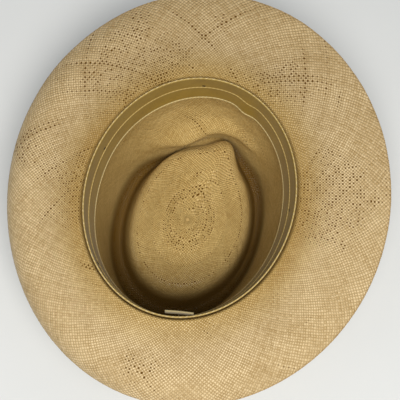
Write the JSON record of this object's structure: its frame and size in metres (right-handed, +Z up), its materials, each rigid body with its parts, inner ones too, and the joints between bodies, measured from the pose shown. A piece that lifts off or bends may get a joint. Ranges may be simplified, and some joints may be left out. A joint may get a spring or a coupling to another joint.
{
  "type": "panama hat",
  "caption": "Woven straw hat with a teardrop crown, front pinches, curled brim, ribbed sweatband, size tab and a dark ribbon with a bow, lying on its crown.",
  "frame": {"origin": "on the surface the crown rests on, under the middle of the brim outline", "axes": "+Z up out of the head opening, +Y to the front of the hat, +X to the wearer's left"},
  "size_m": [0.3071, 0.3381, 0.1128],
  "materials": {
    "straw": "woven straw, lightly glazed",
    "sweatband_cloth": "ribbed cotton, matt",
    "reed": "cotton-covered cord",
    "pale_thread": "cotton thread",
    "tab_cloth": "folded cotton tape",
    "ribbon": "ribbed grosgrain, dark",
    "dark_thread": "cotton thread, dark"
  },
  "bodies": {
    "hat": {"straw_body": "straw", "sweatband": "sweatband_cloth", "sweatband_reed": "reed", "sweatband_ridge_cord": "reed", "sweatband_binding": "reed", "reed_stitches": "pale_thread", "sweatband_seam_stitches": "pale_thread", "hatband_ribbon": "ribbon", "bow_front_loop": "ribbon", "bow_back_loop": "ribbon", "bow_tail": "ribbon", "bow_knot": "ribbon", "hatband_tacks": "dark_thread"},
    "size_tab": {"size_tab": "tab_cloth"}
  },
  "joints": [
    {"name": "size_tab_fold", "type": "hinge", "parent": "hat", "child": "size_tab", "pos_m": [0.01384, -0.09969, 0.1126], "axis": [0.9799, 0.1994, 0], "range_deg": [0, 120]}
  ]
}
